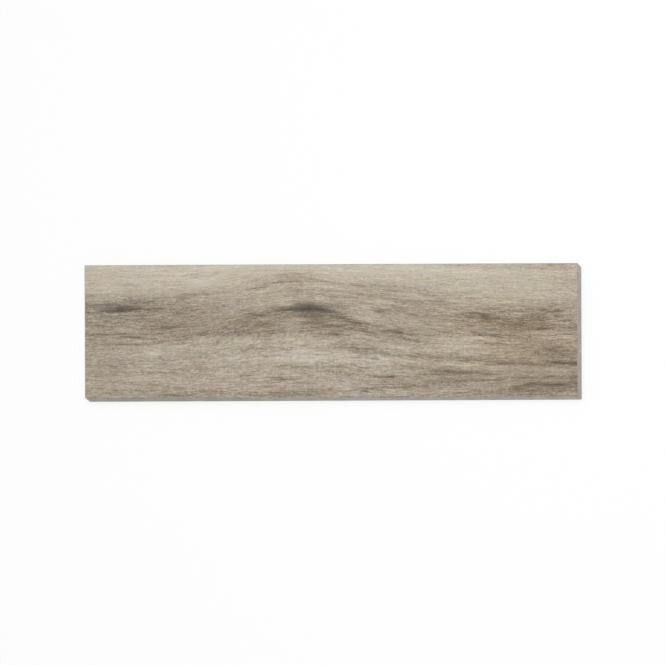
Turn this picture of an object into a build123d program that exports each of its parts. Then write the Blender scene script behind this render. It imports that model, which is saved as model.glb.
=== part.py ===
from build123d import *

import os

# Wood-look porcelain floor plank, pressed and fired as one piece.
# Frame: +X along the plank, the way the printed grain runs, and +Z up out of the wear face.
# The origin is the middle of the back, on the plane of the rib tops that the plank rests on.

# Driving dimensions in millimetres, angles in degrees
tile_length = 610.0
tile_width = 165.0
tile_thickness = 9.0  # from the rib tops to the wear face
corner_radius = 1.6  # the four corners, seen from above
arris_radius = 0.8  # rounded edge between the wear face and the sides
back_chamfer = 1.0  # eased edge round the back

# Keying relief on the back, which the bedding adhesive fills
rib_width = 4.0
pocket_length = 33.5  # along X, at the pocket's mouth
pocket_width = 22.0  # along Y, at the pocket's mouth
pocket_depth = 0.6
pocket_corner_radius = 2.5
pocket_draft = 30.0  # lean of the pocket walls, so that the die draws clear
least_rim = 6.0  # plain margin kept between the outer pockets and the sides

# The pocket grid takes as many whole pockets as the back has room for, and is centred on it
pitch_x = pocket_length + rib_width
pitch_y = pocket_width + rib_width
columns = int((tile_length - 2 * least_rim + rib_width) // pitch_x)
rows = int((tile_width - 2 * least_rim + rib_width) // pitch_y)


def pressed_body():
    """The blank as it leaves the die: rounded corners, soft upper arris, chamfered back edge."""
    with BuildPart() as body:
        with BuildSketch():
            RectangleRounded(tile_length, tile_width, corner_radius)
        extrude(amount=tile_thickness)
        wear_face = body.faces().sort_by(Axis.Z)[-1]
        fillet(wear_face.edges(), arris_radius)
        back_face = body.faces().sort_by(Axis.Z)[0]
        chamfer(back_face.edges(), back_chamfer)
    return body.part


def keying_pocket():
    """One pocket's space: its mouth on the back plane, its walls leaning in to a flat floor."""
    with BuildPart() as pocket:
        with BuildSketch():
            RectangleRounded(pocket_length, pocket_width, pocket_corner_radius)
        extrude(amount=pocket_depth, taper=pocket_draft)
    return pocket.part


def floor_tile():
    """The pressed body with the grid of pockets sunk into its back, leaving the ribs standing."""
    with BuildPart() as tile:
        add(pressed_body())
        with GridLocations(pitch_x, pitch_y, columns, rows):
            add(keying_pocket(), mode=Mode.SUBTRACT)
    return tile.part


os.makedirs("parts", exist_ok=True)
export_step(floor_tile(), "parts/floor_tile.step")
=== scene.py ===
import math

import bmesh
import bpy
import numpy as np
from mathutils import Matrix, Vector, noise


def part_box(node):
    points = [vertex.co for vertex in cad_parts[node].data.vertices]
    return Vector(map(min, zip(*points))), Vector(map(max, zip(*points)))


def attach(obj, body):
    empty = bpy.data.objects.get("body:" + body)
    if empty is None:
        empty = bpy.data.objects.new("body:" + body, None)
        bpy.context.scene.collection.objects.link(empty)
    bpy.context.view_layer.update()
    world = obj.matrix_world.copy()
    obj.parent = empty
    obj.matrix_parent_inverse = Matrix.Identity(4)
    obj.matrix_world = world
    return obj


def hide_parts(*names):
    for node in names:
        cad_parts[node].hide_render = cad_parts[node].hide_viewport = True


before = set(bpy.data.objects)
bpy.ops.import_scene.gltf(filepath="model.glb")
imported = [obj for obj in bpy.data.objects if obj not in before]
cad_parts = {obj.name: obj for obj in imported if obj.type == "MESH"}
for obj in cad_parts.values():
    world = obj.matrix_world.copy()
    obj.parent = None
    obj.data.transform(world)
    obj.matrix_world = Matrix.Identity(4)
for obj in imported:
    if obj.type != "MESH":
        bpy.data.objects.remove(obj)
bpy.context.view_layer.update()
tileLow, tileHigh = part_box("floor_tile")
tileLength = tileHigh.x - tileLow.x
tileWidth = tileHigh.y - tileLow.y
tileTop = tileHigh.z
mm = 0.001
print("frame: tile of", round(tileLength / mm), "x", round(tileWidth / mm), "mm")


# node helpers, for shader trees and geometry trees alike
def addNode(tree, kind, **settings):
    node = tree.nodes.new(kind)
    for name, value in settings.items():
        setattr(node, name, value)
    return node


def plug(tree, socket, value):  # a link where the value is a socket, otherwise the socket's own number
    if isinstance(value, bpy.types.NodeSocket):
        tree.links.new(value, socket)
    else:
        socket.default_value = value


def plugAll(tree, node, values):
    for socket, value in zip(node.inputs, values):
        plug(tree, socket, value)
    return node.outputs[0]


def calc(tree, operation, *values):
    return plugAll(tree, addNode(tree, "ShaderNodeMath", operation=operation), values)


def calcVector(tree, operation, *values):
    return plugAll(tree, addNode(tree, "ShaderNodeVectorMath", operation=operation), values)


def ease(tree, value, low, high, lowResult=0.0, highResult=1.0):  # a smooth step between two results
    node = addNode(tree, "ShaderNodeMapRange", interpolation_type="SMOOTHSTEP")
    return plugAll(tree, node, (value, low, high, lowResult, highResult))


def split(tree, vector):
    node = addNode(tree, "ShaderNodeSeparateXYZ")
    plug(tree, node.inputs[0], vector)
    return node.outputs


def join(tree, x, y, z):
    return plugAll(tree, addNode(tree, "ShaderNodeCombineXYZ"), (x, y, z))


def bell(tree, value, centre, reach):  # 1 at the centre, falling off smoothly on both sides
    offset = calc(tree, "DIVIDE", calc(tree, "SUBTRACT", value, centre), reach)
    return calc(tree, "EXPONENT", calc(tree, "MULTIPLY", calc(tree, "MULTIPLY", offset, offset), -1.0))


# arches in the run of the grain, in millimetres: crown along from the left end, reach to its left
# and its right, centre down from the upper edge, spread across, rise
grainFlow = [
    (278.0, 118.0, 165.0, 74.0, 60.0, 26.0),
    (232.0, 50.0, 90.0, 12.0, 16.0, 7.0),
    (660.0, 200.0, 200.0, 158.0, 30.0, 15.0),
    (640.0, 90.0, 90.0, 60.0, 15.0, 6.0),
    (-10.0, 90.0, 80.0, 42.0, 15.0, 4.0),
]
crownBlend = 20.0  # the reach changes from left to right over this much on each side of the crown
seedSteps = (7.3, 3.9)  # how far one step of a seed moves the noise


def boardPoint(tree, position):
    scale = (1 / mm, -1 / mm, 1 / mm)
    corner = (tileLength / 2 / mm, tileWidth / 2 / mm, 0.0)
    return calcVector(tree, "MULTIPLY_ADD", position, scale, corner)


def grainPoint(tree, board):
    along, down = split(tree, board)[:2]
    level = down
    for crown, leftReach, rightReach, centre, spread, rise in grainFlow:
        reach = ease(tree, along, crown - crownBlend, crown + crownBlend, leftReach, rightReach)
        arch = calc(tree, "MULTIPLY", bell(tree, along, crown, reach), bell(tree, down, centre, spread))
        level = calc(tree, "MULTIPLY_ADD", arch, rise, level)
    return join(tree, along, level, 0.0)


def grainNoise(tree, grain, length, width, seed, detail=2.0, roughness=0.5):  # streaky noise about zero
    shift = (seed * seedSteps[0], seed * seedSteps[1], 0.0)
    scaled = calcVector(tree, "MULTIPLY_ADD", grain, (1 / length, 1 / width, 0.0), shift)
    node = addNode(tree, "ShaderNodeTexNoise", noise_dimensions="2D")
    plug(tree, node.inputs["Vector"], scaled)
    node.inputs["Scale"].default_value = 1.0
    node.inputs["Detail"].default_value = detail
    node.inputs["Roughness"].default_value = roughness
    return calc(tree, "SUBTRACT", node.outputs[0], 0.5)


# wood figure of the print, as strokes: start along, start down, end along, end down, half width (mm),
# tone (of 255), and the bow (mm) where the stroke isn't straight
woodFigure = {
    "baseTone": 158.5,
    "contrast": 1.05,  # what the tone of every stroke is multiplied by
    "tipWidth": 0.4,  # share of a stroke's width that is left at its ends
    "tears": [(60.0, 10.0, 0.4, 3.0), (12.0, 1.8, 0.45, 4.0)],  # length, width and reach (mm), seed
    "strokes": {
        "washes": [  # broad light and dark areas
            (-250, 4, 860, 4, 22, 26), (-140, 28, 210, 24, 12, 11), (430, 32, 760, 36, 14, 13),
            (300, 34, 350, 34, 10, 4), (-150, 72, 300, 76, 22, -15, -4), (50, 72, 220, 84, 11, -7),
            (160, 74, 350, 76, 16, -13, -6), (-110, 118, 80, 128, 26, -8), (130, 112, 420, 112, 18, 9),
            (222, 108, 318, 112, 13, 7), (430, 70, 660, 74, 17, -24), (340, 52, 480, 62, 14, -5),
            (340, 76, 470, 92, 9, -7), (490, 110, 720, 113, 17, -22), (370, 140, 760, 146, 18, -19),
            (420, 98, 500, 101, 6, 12), (470, 93, 580, 95, 7, -12), (-130, 166, 740, 168, 8, -18),
            (190, 163, 340, 163, 4, -12), (80, 163, 160, 163, 4, -6), (40, 108, 130, 106, 8, 9),
            (120, 93, 270, 92, 5, 10), (470, 3, 720, 3, 8, -10), (420, 0.6, 700, 0.6, 1.6, -14),
            (560, 26, 660, 26, 16, -8), (286, 161, 416, 160, 4, 13), (470, 160, 640, 157, 5, -7),
        ],
        "knots": [  # knots and their shadows
            (16, 56, 74, 54, 4.2, -28), (32, 54.5, 62, 53.5, 3.6, -24), (8, 57.5, 60, 57, 1.7, -30),
            (50, 54.5, 76, 55, 3.2, -14), (-30, 50, 40, 51, 5, -12), (10, 47, 110, 50, 7, -12),
            (40, 55, 130, 57, 3.6, -12), (248, 54.3, 308, 55.3, 5.4, -46, -1.5),
            (262, 55.3, 300, 57, 2.2, -26), (222, 57, 282, 56, 1.8, -32), (222, 54.5, 268, 54, 2.4, -18),
            (284, 52, 314, 54, 2.2, -14), (256, 49.5, 300, 50.5, 2.6, -10), (284, 56.5, 318, 60, 2.2, -28),
            (250, 62, 306, 62.5, 3, -20), (258, 70, 316, 76, 7, -9), (262, 65.7, 300, 65.3, 1.2, -12),
            (234, 58, 330, 64, 8, -12), (186, 70, 246, 56, 4.2, -12), (262, 72, 336, 84, 9, -12, -3),
            (286, 87, 326, 86, 4.5, -12), (292, 46, 334, 58, 6, -12), (350, 57.5, 378, 58.5, 2.6, -14),
            (358, 60, 372, 60, 1.8, -20), (374, 51, 404, 60, 4, -9),
        ],
        "arches": [  # grain lines that rise to the middle of the plank and sink again
            (190, 34, 252, 19, 2.6, -12, -1), (226, 14, 302, 17, 6, -20, -1), (258, 18, 362, 30, 2.2, -12),
            (248, 29, 312, 41, 2.6, -10, -1), (318, 32, 410, 49, 2.4, -12), (320, 25, 430, 33, 5, -9),
            (296, 58, 356, 82, 4.8, -30, -1), (322, 64, 374, 74, 3, 10), (346, 82, 412, 89, 4.5, -6),
            (336, 72, 416, 90, 3.8, -17, -1), (288, 72, 372, 90, 3.4, -24, -1),
            (358, 88, 462, 101, 2.2, -13, 1), (362, 81, 400, 88, 3.4, -14), (386, 59, 446, 69, 3, -14),
            (384, 38, 428, 43, 4, 7), (414, 43, 454, 48, 3.6, -13), (300, 98, 388, 112, 5.2, -27, 1),
            (356, 110, 470, 119, 3.2, -15), (434, 112, 524, 121, 3.6, -18), (484, 121, 590, 127, 2.6, -22),
            (556, 121, 650, 127, 2.4, -40),
        ],
        "rightPatch": [  # the dark patch towards the right end
            (448, 62, 520, 66, 5, -15), (478, 62, 512, 67, 4.0, -6), (466, 80, 530, 91, 2.8, -10, 2),
            (470, 90, 520, 97, 2.2, 16, 1), (486, 98, 520, 97, 1.8, -14), (500, 74, 580, 76, 7, -12),
            (530, 80, 592, 82, 2.6, -22), (536, 64, 578, 67, 4, -13), (560, 59, 600, 59, 2.4, -16),
            (530, 55, 610, 56, 3, -10), (474, 51, 520, 52, 4, 8), (560, 86, 604, 84, 3, 8),
            (560, 106, 602, 108, 4, -16),
        ],
        "leftStreaks": [  # streaks under the left knot
            (40, 44, 92, 46, 2.8, -12), (-10, 86, 66, 85, 2.2, -18, 1), (36, 88, 84, 91, 2, -14),
            (0, 97, 110, 97, 1.8, -13, 2), (80, 96, 150, 89, 2.2, -14), (120, 87, 212, 84, 3, -18),
            (66, 77, 130, 77, 3.6, -13), (82, 63, 114, 63, 3, 5), (108, 40, 140, 41, 6, -15),
            (104, 54, 146, 55, 5, -10), (128, 38, 170, 33, 2.4, -8), (-10, 76, 40, 76, 2.4, -10),
            (36, 81.5, 74, 80, 1.5, 8), (20, 63, 80, 64, 2, -9), (176, 82, 244, 73, 4.4, -12),
            (206, 84, 256, 83, 2.6, -12), (176, 91, 246, 86, 3.2, -12),
        ],
        "lowerStreaks": [  # streaks of the lower half
            (160, 104, 250, 102, 3, -12), (280, 103, 318, 104, 4, -12), (230, 128, 292, 127, 2.6, -22, -2),
            (284, 126, 330, 127, 2.4, -12), (290, 133, 350, 135, 4, -8), (316, 145, 432, 148, 7, -8),
            (216, 139, 262, 142, 2, -16), (186, 136, 212, 136, 2, -12), (340, 139, 400, 140, 2, -17),
            (404, 136, 500, 134, 4, -20, -1), (440, 134, 520, 138, 2, -12), (412, 146, 480, 146, 3.4, -14),
            (360, 148, 440, 151, 2.2, -13), (380, 155, 432, 152, 2.8, -16), (330, 155, 384, 154, 3.4, -14),
            (520, 160, 566, 146, 4, -24), (536, 150, 640, 152, 3.4, -26), (500, 159, 680, 160, 7, -11),
            (526, 142, 562, 141, 2, -16), (470, 145, 524, 144, 2, -11), (570, 144, 640, 144, 5, -10),
            (460, 128, 560, 131, 3, 9), (546, 131, 620, 134, 3, 11), (300, 118, 420, 121, 4, 8),
            (296, 147, 352, 147, 3, 8), (60, 147, 130, 149, 2, -8), (80, 162, 140, 162, 4, -12),
            (222, 158, 300, 159, 3, -14), (20, 130, 62, 130, 4, -8), (100, 129, 176, 129, 1.6, -9),
            (90, 135, 128, 135, 1.8, -9),
        ],
        "upperLeftLines": [  # single grain lines and flecks, area by area
            (-10, 49.5, 36, 49.5, 1.3, -14), (-6, 37.5, 22, 37.5, 1.2, -13), (10, 38.5, 36, 37, 0.9, -9),
            (0, 58.5, 18, 59.5, 1.4, -12), (46, 45, 100, 46, 3, -3), (50, 44, 74, 44.5, 1.5, -10),
            (66, 47, 94, 46.5, 1.2, -10), (58, 53.7, 100, 54.3, 1.2, -14), (70, 58, 96, 58.5, 2.6, -8),
            (18, 64, 38, 64, 0.9, -14), (33, 63.5, 62, 65, 0.9, -14), (40, 66, 74, 65.3, 0.9, 11),
            (58, 64, 94, 62, 1, -13), (74, 64, 98, 64.5, 1.1, 11), (62, 67.5, 94, 68.5, 1.1, -13),
            (8, 69.5, 28, 69.5, 1, 14), (-4, 72, 20, 71, 1, -13), (12, 78, 38, 76.5, 1, -10),
            (50, 75, 76, 74.5, 1.2, 10), (64, 76, 94, 75, 1.2, -9), (90, 77, 114, 78, 1.5, -16),
            (88, 80, 112, 79, 1.3, -8), (88, 61.5, 112, 61.3, 1.2, 12), (92, 67.5, 110, 67, 0.9, -10),
            (108, 60.5, 134, 59.5, 1.1, -14), (120, 57.5, 148, 57.5, 1.3, -10),
            (124, 62.5, 156, 54, 0.8, 11, -0.5), (126, 66.5, 156, 62, 0.8, 10), (88, 39.5, 114, 41, 1, -13),
            (92, 43.3, 112, 41.8, 0.8, -11), (114, 42, 132, 42.5, 1.6, -12), (110, 37.5, 160, 33, 1.1, -12),
            (116, 40.5, 142, 37, 0.9, -9), (130, 47, 158, 44, 0.8, 8), (84, 7.5, 164, 8.5, 1, -7),
            (34, 23.5, 74, 24, 1.8, -7),
        ],
        "upperMiddleLines": [
            (146, 9.8, 180, 9.6, 0.9, -11), (178, 13.6, 196, 13.8, 0.8, -9), (204, 18, 234, 17, 1, -8),
            (230, 24.3, 256, 20.5, 1.3, -15), (250, 19.2, 302, 20, 1.2, -9, -0.5),
            (284, 20.5, 322, 24.5, 1, -14), (228, 27.7, 258, 24, 1, 12), (202, 31, 234, 26, 1.1, -13),
            (206, 30.5, 228, 29, 1, -9), (210, 34.2, 234, 31.5, 0.9, 10), (254, 33, 278, 34, 1.6, -12),
            (268, 37, 294, 38.3, 1.3, -11), (286, 33.5, 305, 33.5, 1.2, -13),
            (266, 26.5, 318, 27.5, 1.2, 8), (194, 63, 234, 63.5, 2.2, -14), (204, 62, 226, 64, 1.3, -14),
            (184, 71.5, 208, 69.5, 1.4, -15), (204, 74, 234, 73.5, 1.8, -12), (243, 67.5, 288, 67.5, 1, 13),
            (260, 72, 302, 73, 1.4, -11), (284, 77, 312, 77, 1.2, -12), (146, 38, 174, 36, 1.2, -8),
        ],
        "upperRightLines": [
            (320, 24.3, 354, 28.3, 1.3, -16), (338, 27.5, 370, 29.8, 1, -10),
            (360, 30.3, 390, 34, 1.1, -12), (302, 34, 338, 36.5, 1.3, -9), (324, 36, 348, 38.5, 1.3, -15),
            (356, 37.5, 376, 38, 0.9, -9), (360, 40.3, 394, 44, 1.2, -10), (382, 45, 404, 50.5, 1.5, -12),
            (394, 47, 426, 47, 2.4, -10), (402, 46.5, 422, 46.5, 1.2, -9), (422, 46.5, 444, 47, 1, -13),
            (394, 29.5, 422, 29.5, 1.4, -9), (414, 39, 440, 40, 0.9, -10), (342, 47.5, 362, 47, 1.6, 13),
            (360, 50, 398, 49, 1, 9), (374, 51.7, 398, 57.3, 1.5, -15), (392, 61.7, 416, 65.3, 1.2, -13),
            (402, 58.5, 436, 59, 1.1, -10), (406, 64, 430, 67, 1.1, -11), (426, 64.7, 452, 65, 1.3, -9),
            (436, 68, 454, 68, 1.2, -9), (438, 71, 464, 71, 1, -13), (442, 74.6, 456, 74.6, 1, 12),
            (420, 77, 474, 77.5, 1, -12), (410, 72.5, 422, 72.5, 1.2, -13), (354, 64.5, 376, 65, 1.1, 9),
            (298, 66, 338, 67.3, 1.3, -15), (322, 71.3, 360, 75.5, 1.6, -18),
            (344, 74.3, 382, 80.3, 1.1, -13), (300, 76, 328, 77, 1.1, -13), (314, 78.5, 328, 78.5, 1.5, 8),
            (324, 78.7, 366, 87.3, 1.4, -20), (362, 83, 396, 83, 1.8, -14),
        ],
        "rightEndLines": [
            (486, 9.6, 508, 9.8, 0.9, -12), (488, 11.6, 516, 12, 0.9, 8), (534, 15.8, 554, 15.8, 0.8, -12),
            (535, 17.5, 554, 17.3, 0.8, 9), (464, 24.3, 492, 24.3, 0.8, -9), (506, 30, 530, 29.5, 0.9, -9),
            (543, 44, 568, 44.5, 0.9, -8), (470, 49.5, 564, 49, 1.1, 8), (446, 53, 526, 52.8, 1.1, -8),
            (482, 57, 522, 56.5, 1.4, -9), (538, 56.5, 566, 55.5, 1.1, -8),
            (460, 60.7, 512, 64.2, 1.5, -20, -1), (466, 65.5, 488, 66.5, 1.6, -14),
            (486, 65.5, 502, 65.5, 1.5, -20), (476, 67.5, 550, 69.6, 1.2, -17),
            (522, 69.5, 546, 69.5, 1, -12), (474, 69.8, 494, 71.2, 1.1, 18), (486, 72, 508, 71.5, 1.2, -14),
            (510, 61, 524, 61, 1.1, -13), (536, 65.5, 554, 65.5, 0.8, -13),
            (532, 68.6, 558, 68.5, 1.1, -18), (546, 64, 568, 65.5, 2.2, -12),
            (550, 66.5, 570, 70, 1.4, -12), (558, 69, 584, 69, 1, -15), (564, 62.3, 596, 58, 1.1, -18),
            (572, 64, 592, 66.5, 1.2, -16), (588, 65, 606, 63, 0.9, -13), (524, 76, 544, 76, 1.3, -16),
            (558, 80.5, 578, 80, 1.3, -12), (564, 74, 598, 74, 1, 12), (584, 80, 608, 80, 1.2, -14),
            (456, 77.5, 488, 76.5, 1.4, -10),
        ],
        "lowerLeftLines": [
            (-8, 87.5, 42, 86, 1.2, -17), (38, 86.3, 62, 83.8, 1.2, -17), (30, 82, 72, 80.5, 1.2, 10),
            (42, 89, 80, 90, 1.1, -20), (58, 95.5, 80, 95, 1, 10), (38, 93, 72, 94, 1, 8),
            (-6, 93, 18, 92.5, 1.1, -9), (16, 96.5, 54, 98.7, 1.1, -13), (44, 99, 96, 96.7, 1.1, -18),
            (76, 92.3, 92, 92, 1, -13), (82, 96.5, 114, 95.5, 1, -13), (102, 94.2, 138, 92.3, 1.1, -15),
            (134, 87.3, 158, 87, 1.2, -12), (72, 110.5, 100, 111.5, 5, 8), (78, 111, 96, 111, 2, 10),
            (52, 109, 76, 108.5, 1, -10), (54, 111.5, 76, 111.5, 1, 10), (54, 117.5, 68, 118, 1.2, -9),
            (52, 121, 72, 120.5, 1.1, -9), (88, 112, 102, 112, 0.9, -12), (90, 117, 110, 117.5, 1.1, -14),
            (88, 120.5, 106, 120.5, 0.9, -9), (126, 117.5, 136, 117, 1, -12),
            (136, 111.5, 154, 111, 1.1, -11), (104, 129.5, 130, 129.5, 1, -13),
            (128, 129.8, 164, 129, 0.9, -14), (68, 134, 90, 133.5, 1, -13),
            (110, 136, 128, 135.5, 1.1, -14), (30, 131.5, 46, 130.5, 0.9, -9),
            (28, 143, 48, 142.5, 0.8, -12), (10, 141.5, 32, 141, 0.9, -8), (58, 149, 98, 148, 1, -11),
            (32, 155.5, 48, 155.5, 1, -11), (108, 153, 130, 153, 0.9, -13), (130, 156.5, 160, 156, 1.6, -9),
        ],
        "lowerMiddleLines": [
            (194, 85.5, 216, 85, 1.2, -11), (222, 84.5, 242, 85, 1.3, -11), (262, 83.5, 278, 83, 1.1, -11),
            (296, 87, 320, 87, 1.9, -22), (176, 95, 214, 95, 1, 8), (194, 90.5, 210, 90, 1.1, 10),
            (148, 99, 176, 96, 1.1, -11), (193, 115.3, 226, 109, 0.8, 12),
            (194, 113.3, 220, 109.7, 0.7, -10), (218, 114, 234, 113.5, 1, -11),
            (228, 106, 254, 105.5, 1.6, -9), (262, 101, 282, 100, 1, -11), (252, 107, 278, 107, 2, 8),
            (248, 119, 278, 119.5, 1.8, 11), (234, 116, 248, 116, 1.2, 13), (230, 126, 252, 125, 1, -11),
            (244, 125, 274, 124, 1.1, -12), (250, 127.5, 260, 127.5, 1, -15),
            (260, 126.3, 288, 129, 1.1, -16), (274, 129, 316, 129, 1, -12), (205, 134, 218, 130.3, 1, -16),
            (188, 137.5, 205, 136.5, 1.2, -13), (148, 136.5, 166, 136.5, 1.2, -11),
            (206, 139.7, 226, 139.5, 0.7, 10), (208, 143.5, 224, 143, 1.2, 9),
            (220, 140, 244, 140, 0.8, -11), (226, 143.2, 270, 141.5, 1.1, -18),
            (156, 146, 184, 145, 0.8, -11), (176, 150.5, 204, 151, 0.8, -8), (256, 154, 296, 155, 1.2, -9),
            (224, 159, 256, 158.5, 2, -9), (266, 158.5, 286, 158.5, 1, -14),
            (176, 162.8, 208, 162.5, 0.8, 10),
        ],
        "lowerRightLines": [
            (372, 85.5, 398, 86.5, 1.6, -10), (370, 89.3, 408, 94, 1, -16), (394, 94.3, 428, 97, 1, -16),
            (384, 86, 426, 88, 2, -8), (424, 85.5, 442, 86.5, 1.1, -11), (314, 99, 334, 99.5, 1, -9),
            (326, 105, 370, 105.7, 1.6, -14), (342, 105.5, 354, 105, 1.6, -9),
            (364, 113.5, 382, 113.5, 1.3, -13), (306, 108, 340, 108.5, 1, 10),
            (326, 112, 346, 112.5, 1.6, 4), (328, 115.5, 344, 115, 1.1, -11),
            (344, 116.5, 368, 118, 1.5, -11), (358, 117.5, 384, 117, 2, 13), (362, 123, 380, 122, 1.2, 9),
            (360, 103.5, 386, 103.5, 1.6, 9), (394, 112, 438, 112.5, 1.1, -8),
            (420, 117, 484, 117.5, 1.5, -11), (422, 121.2, 448, 121, 0.9, -13),
            (418, 122.7, 454, 122.4, 0.7, 9), (330, 128.3, 358, 129, 1, -13),
            (298, 126.5, 328, 127.5, 1.2, -11), (328, 134.5, 346, 134, 1.2, -9),
            (346, 140.2, 376, 140.2, 0.9, -16), (370, 139.9, 387, 139.8, 1.2, -38),
            (384, 140, 408, 139.3, 0.7, -11), (424, 133.3, 472, 134, 1.8, -9),
            (426, 133.4, 438, 133.5, 1.2, -11), (408, 137, 446, 136.5, 1.1, -11),
            (406, 148.3, 444, 148, 0.9, -12), (410, 151.5, 448, 151, 0.9, -12),
            (362, 149, 394, 149.5, 1, -12), (374, 151.6, 414, 152, 0.9, -14),
            (378, 153.6, 406, 153.3, 0.8, -12), (393, 155, 408, 155.5, 1.2, -12),
            (342, 154.5, 378, 154.5, 1.6, -18), (350, 157, 396, 155.5, 0.8, 8),
            (420, 160.3, 470, 156.5, 0.9, 10), (344, 162.8, 400, 161.3, 0.9, -9),
        ],
        "lowerEndLines": [
            (472, 83.5, 502, 90.2, 1.5, -22, 1.5), (480, 88.6, 520, 90.7, 1.5, -26),
            (486, 87.5, 498, 87.5, 1.2, -10), (476, 91.2, 520, 93.5, 1.2, 18, 0.6),
            (488, 81.5, 564, 82.5, 1.2, -10), (552, 82.3, 620, 83.4, 1, -14), (538, 85.5, 574, 85, 1, 9),
            (572, 86, 596, 85, 1.3, 9), (562, 89.6, 620, 88, 1, -12), (476, 96, 502, 96.3, 0.9, -11),
            (490, 98.8, 530, 99, 1.2, -12), (520, 102.5, 544, 102.7, 1, -14), (524, 106, 552, 106, 1.2, 10),
            (546, 106.5, 570, 107, 1.8, -8), (550, 100.5, 574, 100, 0.9, -9),
            (560, 107, 594, 108, 1.6, -11), (572, 110.5, 594, 109.5, 1, -11),
            (584, 105.5, 606, 105.5, 0.8, 12), (586, 112, 620, 111.5, 1, -10),
            (576, 113, 602, 115.5, 1, -11), (564, 113, 578, 114, 1, -11), (570, 117, 620, 117.5, 1.1, -10),
            (480, 120.5, 500, 121, 1, -12), (446, 120, 498, 119.5, 1.2, -12),
            (488, 124.8, 508, 125, 1, -14), (498, 123, 564, 125, 1.8, -10),
            (524, 120.5, 536, 121, 0.9, -11), (536, 120, 552, 120.5, 0.8, -11),
            (570, 123.7, 600, 124.5, 1.2, -14), (460, 126, 498, 126, 1.4, 16), (524, 128.5, 560, 128, 1, 8),
            (448, 135.5, 496, 135, 1.2, -10), (484, 137.5, 514, 137.5, 1, -13),
            (464, 146, 508, 145.3, 1, -12), (502, 144.6, 522, 143.4, 1.4, -13),
            (528, 142, 554, 141.8, 1, -13), (548, 146.3, 560, 149.3, 1.1, -18),
            (518, 153.3, 560, 149.3, 1.2, -15), (524, 154, 548, 156, 1.8, -10),
            (556, 150, 606, 150, 1.4, -14), (564, 151.5, 576, 151.5, 1, -14),
            (576, 149, 604, 151.5, 1, -11), (586, 149, 622, 148.3, 1.1, -13),
            (546, 158.7, 620, 158.2, 0.9, -9), (500, 159.7, 530, 155.3, 1, -11),
            (482, 155.5, 502, 155.5, 1, 9),
        ],
        "upperLeftFlecks": [
            (22, 50.5, 46, 48, 1.2, -16), (14, 53.5, 30, 55, 1.5, -12), (-6, 58.5, 9, 58.5, 1.5, -14),
            (16, 62.3, 28, 61.8, 1, -9), (18, 81.3, 44, 79, 1.2, -18), (106, 60, 118, 60, 1.2, -12),
            (92, 62.8, 118, 62.6, 1, -11), (82, 68, 98, 67.5, 1.2, -12), (42, 66.5, 58, 68.5, 1.2, -12),
            (94, 49.3, 124, 49, 1.1, -12), (78, 42, 98, 41.5, 1.2, -10), (134, 39, 156, 36, 1.6, -10),
            (-4, 39.3, 22, 37.5, 1.1, -9), (24, 37, 36, 36, 1, -9), (-8, 46, 12, 46.5, 1.6, -10),
            (120, 57.5, 132, 52, 1.2, -9), (140, 55.5, 150, 55, 1.3, -12), (116, 63, 146, 62, 1, -8),
            (116, 12.8, 144, 12.3, 1, -9), (-6, 26.3, 22, 25, 1.5, -8), (46, 54.5, 62, 52.5, 1.4, 16),
            (31, 61, 58, 65.2, 1.1, 13), (28, 71.3, 96, 73.5, 1.1, 8), (116, 61, 146, 56, 0.9, 11, -0.3),
            (108, 53.3, 120, 53, 1.4, 10), (100, 66, 112, 65.5, 1, 10), (122, 43.5, 140, 42.5, 1.5, 12),
            (124, 35.5, 150, 33.5, 1.2, 9), (108, 72.5, 120, 73, 1.3, 10), (22, 77, 34, 75, 1.1, 9),
            (-4, 79.5, 14, 75.5, 1.2, 9), (78, 45, 94, 45.8, 1.2, 8),
        ],
        "upperMiddleFlecks": [
            (250, 20.8, 276, 23, 1.6, -17), (258, 26, 274, 27.5, 1.2, -10), (234, 27.5, 252, 25.5, 1, -11),
            (192, 23.5, 222, 18.5, 1.2, -9), (216, 19, 238, 17.8, 1.2, -8), (254, 34.5, 274, 36, 1.3, -11),
            (190, 57.5, 214, 55, 1.4, -17), (198, 61.5, 216, 60.5, 1.2, -14),
            (232, 59, 254, 58.3, 1.4, -16), (252, 58.6, 290, 58.4, 1.1, -14),
            (238, 65.5, 256, 64.5, 1.1, -10), (290, 58, 304, 64, 1.5, -9), (294, 56, 312, 56.5, 1.2, -9),
            (166, 67.5, 180, 66.5, 1.1, -10), (162, 73, 172, 72, 1.2, -9), (278, 79.5, 292, 78, 1.3, -11),
            (268, 45, 282, 46.5, 1.2, -9), (284, 46.5, 308, 50.5, 1.1, -10), (260, 14, 276, 13.3, 1.4, -9),
            (262, 80, 284, 79.5, 1, -8), (204, 28.8, 218, 27.2, 1.1, 13), (218, 27, 236, 25, 0.9, 9),
            (236, 29, 262, 24.5, 0.9, 9), (266, 32, 300, 36.5, 1.1, 13), (260, 28.5, 280, 32, 0.9, 9),
            (292, 29.5, 312, 29, 1.2, 9), (282, 40.8, 298, 43, 1, 9), (288, 44.5, 316, 48, 0.9, 11),
            (282, 49.5, 300, 54.5, 1.1, 13), (198, 64.5, 218, 62.3, 1, 10), (206, 69.5, 234, 67, 1.2, 13),
            (240, 69, 286, 69, 1.4, 12), (228, 73.5, 268, 72.5, 1.2, 10), (248, 75.5, 258, 76.5, 1.2, 9),
            (288, 74.5, 314, 72.8, 1.2, 18), (196, 78.8, 214, 76.5, 1.1, 12), (158, 72, 168, 72, 1.3, 13),
            (188, 52, 204, 51, 1.2, 9), (190, 64.5, 202, 63.7, 1, 9), (194, 34.5, 202, 33.7, 1, 10),
            (202, 34.5, 216, 33.8, 1, 10), (240, 43.5, 258, 42.5, 1.2, 9), (148, 56.5, 168, 51, 0.9, 9),
            (258, 56, 278, 55.8, 0.9, 10), (256, 79, 270, 78.5, 1, 10),
        ],
        "upperRightFlecks": [
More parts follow.
